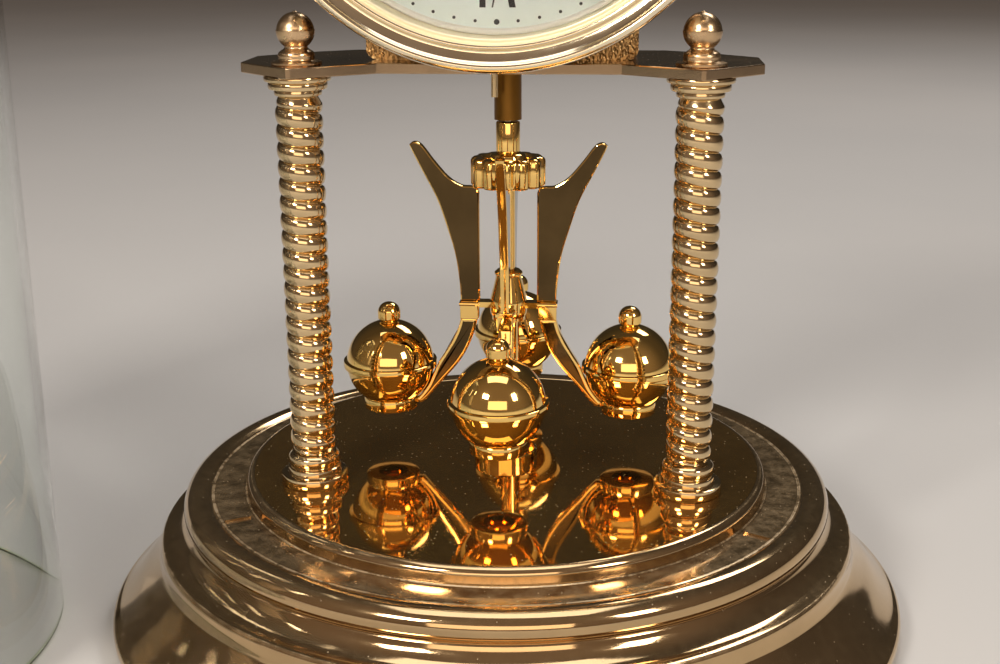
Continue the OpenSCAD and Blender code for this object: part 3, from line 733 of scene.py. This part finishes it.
def stroke(x0, x1, w):
    """A stroke from x0 at a numeral's foot to x1 at its head."""
    h = NUMERAL_H
    return prism([(x0 - w / 2, 0), (x0 + w / 2, 0), (x1 + w / 2, h), (x1 - w / 2, h)])


def numeral(text):
    """The strokes of a Roman numeral, standing on z = 0 and centred on x = 0."""
    total = sum(GLYPH_W[c] for c in text)
    squeeze = min(1.0, NUMERAL_MAX / total)
    x = -total * squeeze / 2
    strokes = []
    for c in text:
        w = GLYPH_W[c] * squeeze
        mid = x + w / 2
        half = w * 0.36
        if c == "I":
            strokes.append(stroke(mid, mid, THICK_I * squeeze))
        if c == "V":
            strokes.append(stroke(mid, mid - half, THICK * squeeze))
            strokes.append(stroke(mid, mid + half, THIN))
        if c == "X":
            strokes.append(stroke(mid + half, mid - half, THICK * squeeze))
            strokes.append(stroke(mid - half, mid + half, THIN))
        x += w
    return join(strokes)


marks = []
for hour, text in enumerate("XII I II III IIII V VI VII VIII IX X XI".split()):
    turn = Matrix.Rotation(hour * math.pi / 6, 4, "Y")
    marks.append(moved(moved(numeral(text), Matrix.Translation((0, 0, NUMERAL_FOOT))), turn))
ink = moved(scaled(join(marks)), DIAL)
piece("numerals", *ink, "ink", "clock", smooth=False, slot="hand_black")
dots = [disc(MINUTE_DOT if i % 5 else HOUR_DOT, MINUTE_R * math.sin(TAU * i / 60),
             MINUTE_R * math.cos(TAU * i / 60)) for i in range(60)]
piece("minute_dots", *moved(scaled(join(dots)), DIAL), "ink", "clock", smooth=False,
      slot="hand_black")

# Lathe profiles on FRONT have their axis along Y, with the height measured toward the viewer.
FACING = Matrix.Rotation(math.pi / 2, 4, "X")
FRONT = Matrix.Translation((DIAL.translation.x, 0, DIAL.translation.z)) @ FACING
rim = [(54.4, 18.65), (55.3, 18.85), (55.75, 19.3), (55.88, 20.0), (55.88, 26.6)]
rim += flow([(55.85, 27.2), (55.6, 28.1), (55.1, 28.75), (54.45, 29.07), (53.9, 28.85),
             (53.35, 28.25), (52.4, 27.6), (51.4, 27.2), (50.95, 27.3), (50.7, 27.8),
             (50.25, 28.08), (49.8, 27.85), (49.55, 27.3), (49.2, 27.05), (48.9, 27.2),
             (48.6, 27.25), (48.35, 27.0), (48.25, 26.5)], 5)
rim += [(48.25, 22.5), (48.25, 18.65), (54.4, 18.65)]
piece("bezel_ring", *moved(scaled(lathe(rim, 288)), FRONT), "bezel_brass", "clock",
      replaced=("bezel",), slot="bezel_brass", angle=40)
crystal = lathe([(0, 25.86), (25, 25.82), (40, 25.72), (48.15, 25.6), (48.15, 25.5), (40, 25.6),
                 (25, 25.7), (0, 25.74)], 128)
piece("crystal", *moved(scaled(crystal), FRONT), "clear_glass", "clock", replaced=("dial_glass",),
      slot="clear_glass", angle=60)

# --------------------------------------------------------------------- dome

dome_lo, dome_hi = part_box("glass_dome")
dome_r = (dome_hi.x - dome_lo.x) / 2 / MM
dome_h = (dome_hi.z - dome_lo.z) / MM
wall_h = dome_h - dome_r        # where the straight wall ends and the round top starts
WALL = 2.2
SKIN = 0.02                     # the glass stays this far inside the CAD's
LIP = WALL / 2
LIP_TOP = 1.3 * MM
outside, inside = dome_r - SKIN, dome_r - WALL
quarter = [math.pi / 2 * i / 32 for i in range(1, 32)]
outer = [(outside, LIP), (outside, wall_h * 0.33), (outside, wall_h * 0.66), (outside, wall_h)]
outer += [(outside * math.cos(a), wall_h + outside * math.sin(a)) for a in quarter]
outer += [(0, dome_h - SKIN)]
inner = [(0, wall_h + inside)]
inner += [(inside * math.sin(a), wall_h + inside * math.cos(a)) for a in quarter]
inner += [(inside, wall_h), (inside, wall_h * 0.66), (inside, wall_h * 0.33), (inside, LIP)]
under = [math.pi * (1 - i / 12) for i in range(1, 12)]
edge = [(dome_r - LIP + LIP * math.cos(a), LIP - (LIP - SKIN) * math.sin(a)) for a in under]
shell = lathe(outer + inner + edge + outer[:1], 160)
dome_at = Matrix.Translation(((dome_lo.x + dome_hi.x) / 2, (dome_lo.y + dome_hi.y) / 2, 0))
dome = piece("dome", *moved(scaled(shell), dome_at), "dome_glass", "dome", replaced=("glass_dome",),
             slot="dome_glass", angle=60)


def on_lip(poly):
    return all(dome.data.vertices[i].co.z < LIP_TOP for i in poly.vertices)


paint(dome, "dome_rim", on_lip)

# ---------------------------------------------------------------- top plate

PLATE = [(-59.2, -14), (-47.6, -26.2), (-45.6, -27.8), (-44.6, -27.8), (-27.6, -15.6),
         (27.6, -15.6), (44.6, -27.8), (45.6, -27.8), (47.6, -26.2), (59.2, -14), (59.2, 1),
         (47, 13), (38, 18.5), (-38, 18.5), (-47, 13), (-59.2, 1)]
plate_lo, plate_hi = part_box("top_plate")
flat = slab([Vector((x, -y)) for x, y in PLATE], plate_lo.z / MM, plate_hi.z / MM, 0.25)
flat = moved(scaled(flat), Matrix.Rotation(math.pi / 2, 4, "X"))
piece("bridge", *flat, "plate_brass", "clock", replaced=("top_plate",), slot="plate_brass",
      angle=15)

# ------------------------------------------------------------------- setting

FLOOR_SIZE, FLOOR_BACK = 14, 3


def make_floor():
    s = Shade("floor")
    s.put("Base Color", s.mix(s.ramp(s.noise(2.2, 4, 0.5), 0.3, 0.7), (0.60, 0.60, 0.60),
                              (0.64, 0.635, 0.63)))
    s.put("Roughness", 0.75)
    s.put("Specular IOR Level", 0.2)
    bpy.ops.mesh.primitive_plane_add(size=FLOOR_SIZE, location=(0, FLOOR_BACK, -0.0002))
    floor = bpy.context.object
    floor.name = "floor"
    floor.data.materials.append(s.mat)


def softbox(name, where, target, size, power, colour):
    """A rectangular lamp at a place, turned toward its target."""
    data = bpy.data.lights.new(name, "AREA")
    data.shape = "RECTANGLE"
    data.size, data.size_y = size
    data.energy = power
    data.color = colour
    lamp = bpy.data.objects.new(name, data)
    lamp.location = where
    lamp.rotation_euler = (Vector(target) - Vector(where)).to_track_quat("-Z", "Y").to_euler()
    bpy.context.scene.collection.objects.link(lamp)


make_floor()
softbox("key", (-0.55, -0.95, 0.75), (0, 0, 0.1), (0.30, 0.22), 9, (1.0, 0.93, 0.84))
softbox("side", (0.75, -0.65, 0.60), (0, 0, 0.1), (0.20, 0.30), 4, (1.0, 0.93, 0.84))
softbox("front", (0.1, -1.9, 0.55), (0, 0, 0.1), (1.6, 0.7), 7, (1.0, 0.80, 0.60))
softbox("back", (0.5, 1.1, 1.35), (0, 0, 0.1), (0.7, 0.4), 8, (1.0, 0.95, 0.9))
softbox("top", (0, -0.1, 1.5), (0, 0, 0), (1.1, 0.8), 6, (1.0, 0.97, 0.93))


def make_world():
    """A dim warm room: brown light from behind the viewer, nearly black behind the clock."""
    world = bpy.data.worlds.new("world")
    bpy.context.scene.world = world
    world.use_nodes = True
    tree = world.node_tree
    coord = tree.nodes.new("ShaderNodeTexCoord")
    split = tree.nodes.new("ShaderNodeSeparateXYZ")
    ramp = tree.nodes.new("ShaderNodeValToRGB")
    ramp.color_ramp.interpolation = "EASE"
    stops = ramp.color_ramp.elements
    stops[0].position, stops[0].color = 0.18, (0.22, 0.16, 0.12, 1)
    stops[1].position, stops[1].color = 0.95, (0.034, 0.030, 0.024, 1)
    middle = stops.new(0.66)
    middle.color = (0.066, 0.052, 0.042, 1)
    half = tree.nodes.new("ShaderNodeMath")
    half.operation = "MULTIPLY_ADD"
    half.inputs[1].default_value = 0.5
    half.inputs[2].default_value = 0.5
    tree.links.new(coord.outputs["Generated"], split.inputs[0])
    tree.links.new(split.outputs[1], half.inputs[0])
    tree.links.new(half.outputs[0], ramp.inputs[0])
    tree.links.new(ramp.outputs[0], tree.nodes["Background"].inputs[0])


make_world()
bpy.context.scene.view_settings.view_transform = "Standard"

make_camera()
